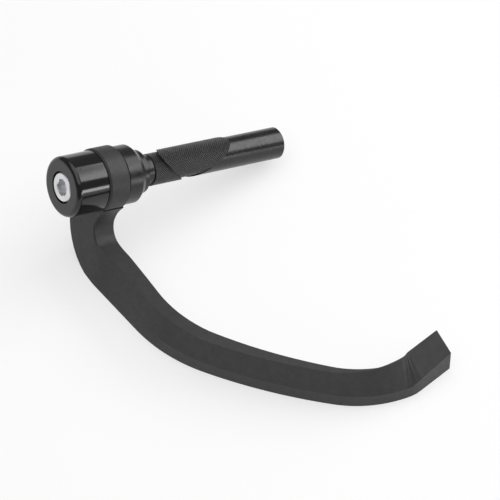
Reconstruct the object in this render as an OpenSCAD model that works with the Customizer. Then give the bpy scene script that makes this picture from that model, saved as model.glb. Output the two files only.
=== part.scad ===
// Brake or clutch lever guard that fixes inside the end of a handlebar.
// X runs along the handlebar axis from the end cap into the bar, Y is across it and Z is up.
// The origin is on that axis, in the face of the collar that seats on the handlebar's end.
// All sizes are in millimetres.

/* [End cap] */
// Diameter of the end cap
cap_d = 32; // [28:0.5:36]
// Length of the end cap
cap_l = 19.5; // [14:0.5:28]
// Radius that rounds the front edge of the end cap
cap_round = 2.4; // [1:0.2:3]
// Width of the chamfer on the back edge of the end cap
cap_back_chamfer = 0.6; // [0.2:0.1:1.2]

/* [Clamp bolt] */
// Diameter of the bolt's shank
bolt_d = 10; // [8:0.5:10]
// Diameter of the bolt's head
head_d = 15.8; // [14:0.2:17]
// Height of the bolt's head
head_l = 9; // [6:0.5:10]
// Width across the flats of the hex socket
socket_w = 8; // [5:0.5:8]
// Depth of the hex socket
socket_depth = 5; // [3:0.5:5]
// Radial gap between the bolt's head and its counterbore
head_gap = 0.6; // [0.3:0.1:1]
// Travel of the nut tube for one turn of the bolt
thread_pitch = 1.5; // [1:0.25:1.5]

/* [Collar] */
// Diameter of the collar's flange
flange_d = 31; // [27:0.5:34]
// Length of the straight part of the flange
flange_l = 8.5; // [5:0.5:12]
// Length of the cone behind the flange
flange_cone_l = 3.2; // [1:0.2:5]
// Diameter at the small end of the cone
flange_cone_d = 26; // [25:0.5:27]
// Diameter of the shoulder that seats on the handlebar's end
shoulder_d = 23; // [22:0.5:25]
// Length of the shoulder
shoulder_l = 4.2; // [2:0.2:6]
// Diameter of the collar's neck inside the handlebar
neck_d = 15.6; // [15:0.2:16.4]
// Length of the collar's neck
neck_l = 5.5; // [3:0.5:9]
// Diameter of the spigot that carries the guard's ring and the end cap
spigot_d = 22; // [20:0.5:24]
// Depth of the spigot in the end cap
spigot_in_cap = 5; // [2:0.5:5]

/* [Expander] */
// Diameter of the knurled wedges and the nut tube
expander_d = 17; // [16.6:0.1:18]
// Length of the outer wedge along the axis
outer_wedge_l = 14; // [12:0.5:20]
// Length of the middle wedge along the axis
middle_wedge_l = 21.6; // [18:0.2:26]
// Length of the nut tube from the second slanted cut, along the axis
nut_tube_l = 48.4; // [44:0.2:70]
// Travel along X of the first slanted cut for each millimetre of height
first_slope = 1; // [0.7:0.05:1.2]
// Travel along X of the second slanted cut for each millimetre of height
second_slope = 1.45; // [1.2:0.05:1.6]
// Height by which the middle wedge stands out of line
wedge_lift = 1; // [0.6:0.1:1.2]
// Drop of the outer wedge out of line
wedge_drop = 0.5; // [0:0.1:0.8]
// Gap at right angles between the slanted faces
wedge_gap = 0.12; // [0.08:0.02:0.3]
// Diameter of the open end of the nut tube
nut_bore_d = 13; // [12:0.2:14]
// Depth of the open end of the nut tube
nut_bore_l = 26; // [16:1:30]
// Length of the threaded part of the nut tube
nut_thread_l = 14; // [8:1:16]

/* [Guard ring] */
// Outer diameter of the guard's ring
ring_d = 33.6; // [31:0.2:36]
// Length of the guard's ring along the axis, and thickness of the arm's root
ring_l = 12.4; // [9:0.2:15]
// Width of the chamfer on the ring's edges
ring_chamfer = 0.9; // [0.4:0.1:1.5]

/* [Guard arm] */
// Height of the blade
blade_h = 22.8; // [18:0.2:25]
// Straight drop of the arm from the axis to its bend
arm_drop = 20; // [19:0.5:32]
// Radius of the bend from the drop to the blade, at mid height
drop_r = 20.7; // [16:0.1:28]
// Fillet between the ring and the arm
root_fillet = 5; // [2:0.5:6]
// Slope of the level blade to the handlebar axis in degrees
blade_pitch = 18.7; // [10:0.1:24]
// Length of the straight run after the drop
run_l = 41.5; // [25:0.5:70]
// Heading of the straight run in degrees, from straight across towards the bar
run_heading = 6; // [0:0.5:12]
// Length of the first curve
curve_l = 44; // [30:1:80]
// Heading at the end of the first curve
curve_heading = 33; // [22:0.5:42]
// Length of the long bow
bow_l = 68; // [40:1:90]
// Heading at the end of the long bow
bow_heading = 46; // [43:0.5:58]
// Length of the third curve
turn_l = 38.5; // [24:0.5:50]
// Heading at the end of the third curve
turn_heading = 82; // [65:0.5:88]
// Length of the bend before the tip
tip_bend_l = 6; // [5:0.5:14]
// Heading of the tip
tip_heading = 101.5; // [90:0.5:115]
// Length of the straight tip
tip_l = 20; // [12:1:32]
// Thickness of the blade in the middle of the bow
blade_t = 8.8; // [6.5:0.1:11]
// Thickness of the blade at its thinnest, before the tip
blade_thin = 7; // [5.5:0.1:8.5]
// Thickness of the blade at the tip
tip_t = 11; // [8:0.2:13]
// Width that the slanted face takes from the top, in the middle of the bow
slant_w = 3.6; // [2:0.1:5]
// Height of the upright wall below the slanted face
wall_h = 8.5; // [6:0.1:11]
// Height of the upright wall at the tip
tip_wall_h = 14.3; // [10:0.1:16]
// Thickness of the blade's foot at the tip
tip_foot = 6.4; // [5:0.2:7.4]

/* [Fits] */
// Gap at each side of the guard's ring, and between the ring's bore and its spigot
ring_gap = 0.12; // [0.1:0.02:0.3]
// Radial gap around the bolt's shank in the end cap, the collar and the nut tube
bolt_gap = 0.2; // [0.15:0.05:0.4]
// Least gap between the bolt and the middle wedge over the wedge's travel
wedge_bore_gap = 0.5; // [0.3:0.1:0.6]

/* [Hidden] */
$fn = 96;
eps = 0.01;
spigot_gap = 0.1;
small_chamfer = 0.6;
axis_sections = 8;

// Stations along the handlebar axis, from the seat outwards and inwards
flange_back = -shoulder_l - flange_cone_l;
flange_front = flange_back - flange_l;
ring_back = flange_front - ring_gap;
ring_front = ring_back - ring_l;
cap_back = ring_front - ring_gap;
cap_front = cap_back - cap_l;
spigot_front = cap_back - spigot_in_cap;
first_cut = neck_l + outer_wedge_l;
second_cut = first_cut + middle_wedge_l;
tube_end = second_cut + nut_tube_l;
thread_end = tube_end - nut_bore_l;
thread_start = thread_end - nut_thread_l;
bolt_end = thread_end + 1;

expander_r = expander_d / 2;
bolt_r = bolt_d / 2;
shank_hole_r = bolt_r + bolt_gap;
wedge_hole_r = bolt_r + wedge_lift + wedge_bore_gap;
far_side = 2 * expander_d;
first_face_gap = wedge_gap * sqrt(1 + first_slope * first_slope);
second_face_gap = wedge_gap * sqrt(1 + second_slope * second_slope);

// A cylinder along X from x0 to x1
module bar_x(x0, x1, r) {
    translate([x0, 0, 0]) rotate([0, 90, 0]) cylinder(h = x1 - x0, r = r);
}

// A turned shape whose outline is given as points of radius and X
module turned(outline) {
    rotate([0, 90, 0]) rotate_extrude() polygon(outline);
}

// Points of a quarter round in radius and X, from the face to the side
function front_round(x, r, round_r) = [
    for (i = [0 : axis_sections])
        let (a = 90 * i / axis_sections)
        [r - round_r + round_r * sin(a), x + round_r - round_r * cos(a)]
];

module end_cap() {
    r = cap_d / 2;
    outline = concat(
        [[0, cap_front]],
        front_round(cap_front, r, cap_round),
        [[r, cap_back - cap_back_chamfer], [r - cap_back_chamfer, cap_back], [0, cap_back]]
    );
    color([0.05, 0.05, 0.06]) difference() {
        turned(outline);
        bar_x(cap_front - 1, cap_front + head_l + 0.2, head_d / 2 + head_gap);
        bar_x(cap_front, cap_back + 1, shank_hole_r);
        bar_x(spigot_front, cap_back + 1, spigot_d / 2 + spigot_gap);
    }
}

module clamp_bolt() {
    r = head_d / 2;
    head_front = cap_front + 0.2;
    head_back = cap_front + head_l + 0.1;
    outline = [
        [0, head_front], [r - small_chamfer, head_front], [r, head_front + small_chamfer], [r, head_back],
        [bolt_r, head_back], [bolt_r, bolt_end - 1], [bolt_r - 1, bolt_end], [0, bolt_end]
    ];
    color([0.78, 0.79, 0.8]) difference() {
        turned(outline);
        translate([head_front - 1, 0, 0]) rotate([0, 90, 0])
            cylinder(h = socket_depth + 1, d = socket_w / cos(30), $fn = 6);
        turned([
            [0, head_front - eps], [socket_w / 2 + 0.7, head_front - eps], [0, head_front + socket_w / 2]
        ]);
    }
}

module collar() {
    r = flange_d / 2;
    outline = [
        [0, spigot_front], [spigot_d / 2 - small_chamfer, spigot_front],
        [spigot_d / 2, spigot_front + small_chamfer], [spigot_d / 2, flange_front],
        [r - small_chamfer, flange_front], [r, flange_front + small_chamfer], [r, flange_back],
        [flange_cone_d / 2, flange_back + flange_cone_l], [shoulder_d / 2, -shoulder_l],
        [shoulder_d / 2, -small_chamfer], [shoulder_d / 2 - small_chamfer, 0],
        [neck_d / 2, 0], [neck_d / 2, neck_l - small_chamfer],
        [neck_d / 2 - small_chamfer, neck_l], [0, neck_l]
    ];
    color([0.09, 0.09, 0.1]) difference() {
        turned(outline);
        bar_x(spigot_front - 1, neck_l + 1, shank_hole_r);
    }
}

// Everything on the inner side of a slanted plane that crosses the axis at x and leans by slope
module beyond(x, slope) {
    rotate([90, 0, 0]) linear_extrude(height = far_side, center = true)
        polygon([
            [x - slope * far_side, -far_side], [x + slope * far_side, far_side],
            [x + 3 * far_side, far_side], [x + 3 * far_side, -far_side]
        ]);
}

module outer_wedge() {
    color([0.2, 0.2, 0.21]) difference() {
        translate([0, 0, -wedge_drop]) bar_x(neck_l, first_cut + far_side, expander_r);
        beyond(first_cut - first_face_gap / 2, -first_slope);
        translate([0, 0, -wedge_drop])
            bar_x(neck_l - 1, first_cut + far_side, bolt_r + wedge_drop + bolt_gap);
    }
}

module middle_wedge() {
    color([0.2, 0.2, 0.21]) translate([0, 0, wedge_lift]) difference() {
        intersection() {
            bar_x(first_cut - far_side, second_cut + far_side, expander_r);
            beyond(first_cut - first_slope * wedge_lift + first_face_gap / 2, -first_slope);
        }
        beyond(second_cut + second_slope * wedge_lift - second_face_gap / 2, second_slope);
        bar_x(first_cut - far_side, second_cut + far_side, wedge_hole_r);
    }
}

module nut_tube() {
    entry = 0.8;
    color([0.13, 0.13, 0.14]) difference() {
        intersection() {
            turned([
                [0, second_cut - far_side], [expander_r, second_cut - far_side],
                [expander_r, tube_end - entry], [expander_r - entry, tube_end], [0, tube_end]
            ]);
            beyond(second_cut + second_face_gap / 2, second_slope);
        }
        bar_x(second_cut - far_side, tube_end + 1, shank_hole_r);
        bar_x(second_cut - far_side, thread_start, nut_bore_d / 2);
        bar_x(thread_end, tube_end + 1, nut_bore_d / 2);
        turned([
            [0, tube_end - entry], [nut_bore_d / 2, tube_end - entry],
            [nut_bore_d / 2 + entry, tube_end + eps], [0, tube_end + eps]
        ]);
    }
}

// The arm's side faces lie just inside the ring's
face_inset = 0.06;
arm_front = ring_front + face_inset;
root_t = ring_l - 2 * face_inset;

// The narrow chamfer on the root's outer edge, where the slanted face has not begun
edge_h = 0.6;
edge_w = 0.5;

// Distances along the blade's foot at which its curves end
curve_end = run_l + curve_l;
bow_end = curve_end + bow_l;
turn_end = bow_end + turn_l;
bend_end = turn_end + tip_bend_l;
blade_l = bend_end + tip_l;

// Heading of the blade's foot at distance s: 0 is straight across the bar, 90 is along it
function heading(s) = lookup(s, [
    [0, 0], [6, run_heading], [run_l, run_heading], [curve_end, curve_heading], [bow_end, bow_heading],
    [turn_end, turn_heading], [bend_end, tip_heading], [blade_l, tip_heading]
]);

// Thickness of the blade's top, measured from the wall's plane
function thickness(s) = lookup(s, [
    [0, root_t], [run_l, blade_t + 1.9], [curve_end, blade_t + 1], [curve_end + bow_l / 3, blade_t],
    [bow_end, blade_thin], [bow_end + 0.6 * turn_l, blade_thin], [bend_end, tip_t], [blade_l, tip_t]
]);

// Width that the slanted face takes from the top, which it fills at the tip
tip_slant = tip_t - 0.5;
function slant_run(s) = lookup(s, [
    [0, edge_w], [20, 1.6], [run_l + 20, slant_w - 0.2], [curve_end, slant_w - 0.4],
    [bow_end, slant_w], [turn_end, 0.55 * blade_thin + 0.45 * tip_slant],
    [bend_end, tip_slant], [blade_l, tip_slant]
]);

// Height of the upright wall below the slanted face
function wall(s) = lookup(s, [
    [0, wall_h + 0.6 * (blade_h - wall_h)], [3, wall_h + 0.36 * (blade_h - wall_h)],
    [8, wall_h + 0.13 * (blade_h - wall_h)], [14, wall_h + 0.7], [26, wall_h],
    [turn_end, wall_h], [bend_end, wall_h + 0.45 * (tip_wall_h - wall_h)], [blade_l, tip_wall_h]
]);

// Thickness of the blade's foot
function foot(s) = lookup(s, [
    [0, root_t], [turn_end, blade_thin], [bend_end, tip_foot], [blade_l, tip_foot]
]);

// Lean of the blade's upright away from Z, growing from the root to the bow
function lean(s) = lookup(s, [[0, 0], [12, 0], [curve_end, blade_pitch], [blade_l, blade_pitch]]);

// The foot of the blade in plan, as a chain of short steps that follow the heading
step_l = 2.8;
steps = ceil(blade_l / step_l);
foot_start = [arm_front, -drop_r];
foot_plan = [
    for (i = 0, x = foot_start[0], y = foot_start[1];
         i <= steps;
         h = heading((i + 0.5) * blade_l / steps),
         x = x + blade_l / steps * sin(h),
         y = y - blade_l / steps * cos(h),
         i = i + 1)
    [x, y]
];
foot_z = -arm_drop - drop_r - blade_h / 2;

// The five corners of a section, from its outer foot corner, its upright and its outward direction
function section(corner, upright, outward, h, w, run, t, f) = [
    corner,
    corner + w * upright,
    corner + h * upright - run * outward,
    corner + h * upright - t * outward,
    corner - f * outward
];

function blade_section(i) =
    let (s = i * blade_l / steps, a = heading(s), q = lean(s), p = foot_plan[i])
    section(
        [p[0], p[1], foot_z + tan(blade_pitch) * (p[0] - arm_front)],
        [-sin(q), 0, cos(q)],
        [-cos(a) * cos(q), -sin(a), -cos(a) * sin(q)],
        blade_h, wall(s), slant_run(s), thickness(s), foot(s)
    );

// The bend from the drop to the blade, at angle b
function bend_section(b) =
    let (reach = drop_r + blade_h / 2, plain = blade_h - edge_h)
    section(
        [arm_front, -drop_r + reach * cos(b), -arm_drop - reach * sin(b)],
        [0, -cos(b), sin(b)], [-1, 0, 0],
        blade_h, lookup(b, [[0, plain], [50, plain], [90, wall(0)]]), edge_w, root_t, root_t
    );

// The drop below the ring, which widens into the ring with a fillet
function drop_section(k) =
    let (z = -arm_drop * k, extra = root_fillet * pow(1 - k, 2) * 2.2, h = blade_h + 2 * extra)
    section([arm_front, h / 2, z], [0, -1, 0], [-1, 0, 0], h, h - edge_h, edge_w, root_t, root_t);

module swept(sections) {
    n = len(sections[0]);
    m = len(sections);
    points = [for (ring = sections) each ring];
    sides = [
        for (i = [0 : m - 2], j = [0 : n - 1])
            let (k = (j + 1) % n)
            each [
                [i * n + j, i * n + k, (i + 1) * n + k],
                [i * n + j, (i + 1) * n + k, (i + 1) * n + j]
            ]
    ];
    last = (m - 1) * n;
    first_end = [for (j = [1 : n - 2]) [0, j + 1, j]];
    last_end = [for (j = [1 : n - 2]) [last, last + j, last + j + 1]];
    polyhedron(points = points, faces = concat(first_end, sides, last_end));
}

module guard_arm() {
    r = ring_d / 2;
    drop_steps = 4;
    bend_steps = 10;
    sections = concat(
        [for (i = [0 : drop_steps - 1]) drop_section(0.42 + 0.58 * i / drop_steps)],
        [for (i = [0 : bend_steps - 1]) bend_section(90 * i / bend_steps)],
        [for (i = [0 : steps]) blade_section(i)]
    );
    color([0.16, 0.16, 0.17]) difference() {
        union() {
            turned([
                [0, ring_front], [r - ring_chamfer, ring_front], [r, ring_front + ring_chamfer],
                [r, ring_back - ring_chamfer], [r - ring_chamfer, ring_back], [0, ring_back]
            ]);
            swept(sections);
        }
        bar_x(ring_front - 1, ring_back + 1, spigot_d / 2 + ring_gap);
    }
}

end_cap();
clamp_bolt();
guard_arm();
collar();
outer_wedge();
middle_wedge();
nut_tube();
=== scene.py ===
import math

import bpy
from mathutils import Matrix, Vector


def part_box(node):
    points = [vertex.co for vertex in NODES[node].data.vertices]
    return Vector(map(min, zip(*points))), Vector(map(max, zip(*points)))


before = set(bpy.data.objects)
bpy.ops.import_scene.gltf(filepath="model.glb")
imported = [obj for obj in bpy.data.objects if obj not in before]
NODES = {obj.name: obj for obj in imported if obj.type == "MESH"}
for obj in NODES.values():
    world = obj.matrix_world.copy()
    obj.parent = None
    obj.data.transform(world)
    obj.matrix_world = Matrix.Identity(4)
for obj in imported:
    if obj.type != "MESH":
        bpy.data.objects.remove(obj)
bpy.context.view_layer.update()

# The part as it lies in the photograph, in metres: its tube's end and its blade touch the floor.
BAR_YAW = math.radians(31.78)
BAR_TILT = math.radians(18.96)
CAP_FACE = Vector((-0.09667, -0.00106, 0.05279))
CAMERA_ELEVATION = math.radians(51.51)
CAMERA_DISTANCE = 1.6
FOCAL_LENGTH = 218.9
SENSOR_WIDTH = 36.0
VIEW_DEPTH = 20

# The blade's foot lies this far below the floor height of the camera fit.
FLOOR_DROP = 0.0025
FLOOR_SIZE = 6
FLOOR_ROUGHNESS = 0.9
# Share of plain white that the camera sees in the floor
WHITE_SHARE = 0.6
ROOM_BRIGHTNESS = 0.2

CAP_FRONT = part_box("end_cap")[0][0]
EXPANDER_RADIUS = (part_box("nut_tube")[1][2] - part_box("nut_tube")[0][2]) / 2
# Distance between neighbouring ridges of the knurling
KNURL_PITCH = 0.00095

# Edges sharper than this stay crisp, and the blade's low ridges need a smaller limit.
EDGE_ANGLE = math.radians(24)
BLADE_EDGE_ANGLE = math.radians(12)
WELD_DISTANCE = 0.00001

# Most of a noise texture's values lie between these two.
NOISE_LOW = 0.3
NOISE_HIGH = 0.7


def resting_matrix():
    """The matrix that carries the row frame to the photograph's floor frame."""
    heading = Vector((math.cos(BAR_YAW), math.sin(BAR_YAW), 0))
    upright = Vector((0, 0, 1))
    along = math.cos(BAR_TILT) * heading - math.sin(BAR_TILT) * upright
    up = math.sin(BAR_TILT) * heading + math.cos(BAR_TILT) * upright
    across = up.cross(along)
    turn = Matrix((along, across, up)).transposed().to_4x4()
    return Matrix.Translation(CAP_FACE) @ turn @ Matrix.Translation((-CAP_FRONT, 0, 0))


TO_ROW = resting_matrix().inverted()


class Shader:
    """A material's node tree, with short calls for the nodes that the finishes need."""

    def __init__(self, name):
        self.material = bpy.data.materials.new(name)
        self.material.use_nodes = True
        self.tree = self.material.node_tree
        self.surface = self.tree.nodes["Principled BSDF"]
        coordinates = self.tree.nodes.new("ShaderNodeTexCoord")
        self.place = coordinates.outputs["Object"]

    def link(self, source, target):
        """Join an output to an input."""
        self.tree.links.new(source, target)

    def node(self, kind, **settings):
        """Add a node with the given settings."""
        made = self.tree.nodes.new(kind)
        for key, value in settings.items():
            setattr(made, key, value)
        return made

    def math(self, operation, first, second):
        """Work out one value from two, each an output or a plain number."""
        made = self.node("ShaderNodeMath", operation=operation)
        for socket, value in zip(made.inputs, (first, second)):
            if isinstance(value, (int, float)):
                socket.default_value = value
            else:
                self.link(value, socket)
        return made.outputs[0]

    def noise(self, scale, detail=4.0, stretch=(1, 1, 1)):
        """A noise over the piece's own coordinates."""
        mapping = self.node("ShaderNodeMapping")
        mapping.inputs["Scale"].default_value = stretch
        self.link(self.place, mapping.inputs["Vector"])
        made = self.node("ShaderNodeTexNoise")
        made.inputs["Scale"].default_value = scale
        made.inputs["Detail"].default_value = detail
        self.link(mapping.outputs[0], made.inputs["Vector"])
        return made.outputs["Fac"]

    def roughness(self, value, low, high):
        """Let the roughness follow a noise, from low to high."""
        made = self.node("ShaderNodeMapRange")
        made.inputs["From Min"].default_value = NOISE_LOW
        made.inputs["From Max"].default_value = NOISE_HIGH
        made.inputs["To Min"].default_value = low
        made.inputs["To Max"].default_value = high
        self.link(value, made.inputs["Value"])
        self.link(made.outputs[0], self.surface.inputs["Roughness"])

    def colours(self, value, dark, light, start=NOISE_LOW, end=NOISE_HIGH):
        """Let the base colour go from dark to light as a value goes from start to end."""
        ramp = self.node("ShaderNodeValToRGB")
        ramp.color_ramp.elements[0].position = start
        ramp.color_ramp.elements[0].color = (*dark, 1)
        ramp.color_ramp.elements[1].position = end
        ramp.color_ramp.elements[1].color = (*light, 1)
        self.link(value, ramp.inputs[0])
        self.link(ramp.outputs[0], self.surface.inputs["Base Color"])

    def bump(self, height, strength, distance):
        """Raise the surface by a height, in metres where it is 1."""
        made = self.node("ShaderNodeBump")
        made.inputs["Strength"].default_value = strength
        made.inputs["Distance"].default_value = distance
        self.link(height, made.inputs["Height"])
        self.link(made.outputs[0], self.surface.inputs["Normal"])

    def backdrop(self, share):
        """Let the camera, metal and glass see a share of plain white, over which the shadows stay."""
        path = self.node("ShaderNodeLightPath")
        seen = self.math("MAXIMUM", path.outputs["Is Camera Ray"], path.outputs["Is Glossy Ray"])
        seen = self.math("MAXIMUM", seen, path.outputs["Is Transmission Ray"])
        white = self.node("ShaderNodeEmission")
        mix = self.node("ShaderNodeMixShader")
        self.link(self.math("MULTIPLY", seen, share), mix.inputs[0])
        self.link(self.surface.outputs[0], mix.inputs[1])
        self.link(white.outputs[0], mix.inputs[2])
        self.link(mix.outputs[0], self.tree.nodes["Material Output"].inputs["Surface"])


def gloss_black():
    """Polished anodised cap: near black, with faint turning marks."""
    s = Shader("gloss_black")
    s.colours(s.noise(60), (0.006, 0.006, 0.007), (0.01, 0.01, 0.011))
    s.roughness(s.noise(250, stretch=(12, 1, 1)), 0.08, 0.14)
    s.bump(s.noise(900, stretch=(10, 1, 1)), 0.04, 0.0002)
    return s.material


def satin_black(name, dark, light, rough_low, rough_high, grain):
    """Black anodised aluminium with a satin grain."""
    s = Shader(name)
    s.colours(s.noise(grain / 8), dark, light)
    s.roughness(s.noise(grain / 3), rough_low, rough_high)
    s.bump(s.noise(grain, detail=6), 0.12, 0.0002)
    return s.material


def knurled():
    """Diamond knurling: two crossed sets of ridges round the axis, with a painted highlight on their
    crests and painted shade in the grooves.
    """
    s = Shader("knurled_black")
    parts = s.node("ShaderNodeSeparateXYZ")
    s.link(s.place, parts.inputs[0])
    turn = s.math("ARCTAN2", parts.outputs["Z"], parts.outputs["Y"])
    round_way = s.math("MULTIPLY", turn, EXPANDER_RADIUS)
    ridge_width = KNURL_PITCH / math.sqrt(2)
    crests = []
    for operation in ("ADD", "SUBTRACT"):
        diagonal = s.math(operation, parts.outputs["X"], round_way)
        wave = s.math("PINGPONG", diagonal, ridge_width)
        crests.append(s.math("MULTIPLY", wave, 1 / ridge_width))
    height = s.math("MINIMUM", crests[0], crests[1])
    # Painted highlight and shade: the colour runs from near black in the grooves to light grey on the
    # crests.
    s.colours(height, (0.002, 0.002, 0.002), (0.15, 0.15, 0.153), 0.3, 0.95)
    s.roughness(s.noise(300), 0.34, 0.46)
    s.bump(height, 1.0, 0.0006)
    return s.material


def bolt_steel():
    """Bright turned steel."""
    s = Shader("bolt_steel")
    s.surface.inputs["Metallic"].default_value = 1.0
    s.colours(s.noise(200), (0.7, 0.705, 0.72), (0.8, 0.805, 0.815))
    s.roughness(s.noise(500, stretch=(0.2, 1, 1)), 0.32, 0.42)
    s.bump(s.noise(2500), 0.05, 0.0001)
    return s.material


knurled_black = knurled()
FINISHES = {
    "end_cap": gloss_black(),
    "clamp_bolt": bolt_steel(),
    "guard_arm": satin_black(
        "matt_black", dark=(0.022, 0.022, 0.023), light=(0.03, 0.03, 0.031),
        rough_low=0.48, rough_high=0.58, grain=1800,
    ),
    "collar": satin_black(
        "satin_black", dark=(0.006, 0.006, 0.007), light=(0.01, 0.01, 0.011),
        rough_low=0.26, rough_high=0.34, grain=900,
    ),
    "outer_wedge": knurled_black,
    "middle_wedge": knurled_black,
    "nut_tube": satin_black(
        "tube_black", dark=(0.006, 0.006, 0.006), light=(0.011, 0.011, 0.011),
        rough_low=0.22, rough_high=0.32, grain=1200,
    ),
}


def dress(name, material):
    """Give a piece its finish and smooth shading, with the blade's small facets shaded as one surface."""
    piece = NODES[name]
    piece.data.materials.clear()
    piece.data.materials.append(material)
    for polygon in piece.data.polygons:
        polygon.use_smooth = True
    if name == "guard_arm":
        piece.modifiers.new("one_surface", "WELD").merge_threshold = WELD_DISTANCE
        piece.modifiers.new("edges", "EDGE_SPLIT").split_angle = BLADE_EDGE_ANGLE
        piece.modifiers.new("even_shading", "WEIGHTED_NORMAL")
    else:
        piece.modifiers.new("edges", "EDGE_SPLIT").split_angle = EDGE_ANGLE


for node_name, finish in FINISHES.items():
    dress(node_name, finish)


def area_light(name, place, target, size, power):
    """A soft rectangular light at a place in the floor frame, facing a target there."""
    light = bpy.data.lights.new(name, "AREA")
    light.shape = "RECTANGLE"
    light.size, light.size_y = size
    light.energy = power
    lamp = bpy.data.objects.new(name, light)
    bpy.context.collection.objects.link(lamp)
    facing = (Vector(target) - Vector(place)).to_track_quat("-Z", "Y").to_matrix().to_4x4()
    lamp.matrix_world = TO_ROW @ Matrix.Translation(place) @ facing


area_light("overhead", place=(0, 0, 1.2), target=(0, 0, 0), size=(1.6, 2.0), power=14)
area_light("back_right", place=(1.18, 0.55, 0.75), target=(0, 0, 0.02), size=(1.4, 0.7), power=13)
area_light("right", place=(1.2, -0.7, 0.12), target=(0.05, -0.05, 0.02), size=(0.5, 0.2), power=2.5)


def white_floor():
    """A pale floor under the part as it lies in the photograph."""
    bpy.ops.mesh.primitive_plane_add(size=FLOOR_SIZE)
    floor = bpy.context.object
    floor.name = "floor"
    floor.matrix_world = TO_ROW @ Matrix.Translation((0, 0, -FLOOR_DROP))
    s = Shader("floor_white")
    s.colours(s.noise(2), (0.93, 0.93, 0.93), (0.96, 0.96, 0.96))
    s.surface.inputs["Roughness"].default_value = FLOOR_ROUGHNESS
    s.surface.inputs["Specular IOR Level"].default_value = 0.1
    s.backdrop(WHITE_SHARE)
    floor.data.materials.append(s.material)


white_floor()


def studio_world():
    """A dim, even room round the lamps."""
    world = bpy.data.worlds.new("studio")
    bpy.context.scene.world = world
    world.use_nodes = True
    background = world.node_tree.nodes["Background"]
    background.inputs["Color"].default_value = (1, 1, 1, 1)
    background.inputs["Strength"].default_value = ROOM_BRIGHTNESS


studio_world()


def photograph_camera():
    """A long lens at the photograph's place, aimed at the floor frame's origin."""
    camera = bpy.data.cameras.new("camera")
    camera.lens = FOCAL_LENGTH
    camera.sensor_width = SENSOR_WIDTH
    camera.clip_end = VIEW_DEPTH
    holder = bpy.data.objects.new("camera", camera)
    bpy.context.collection.objects.link(holder)
    place = CAMERA_DISTANCE * Vector((0, -math.cos(CAMERA_ELEVATION), math.sin(CAMERA_ELEVATION)))
    facing = (-place).to_track_quat("-Z", "Y").to_matrix().to_4x4()
    holder.matrix_world = TO_ROW @ Matrix.Translation(place) @ facing
    bpy.context.scene.camera = holder


photograph_camera()
bpy.context.scene.view_settings.view_transform = "Standard"
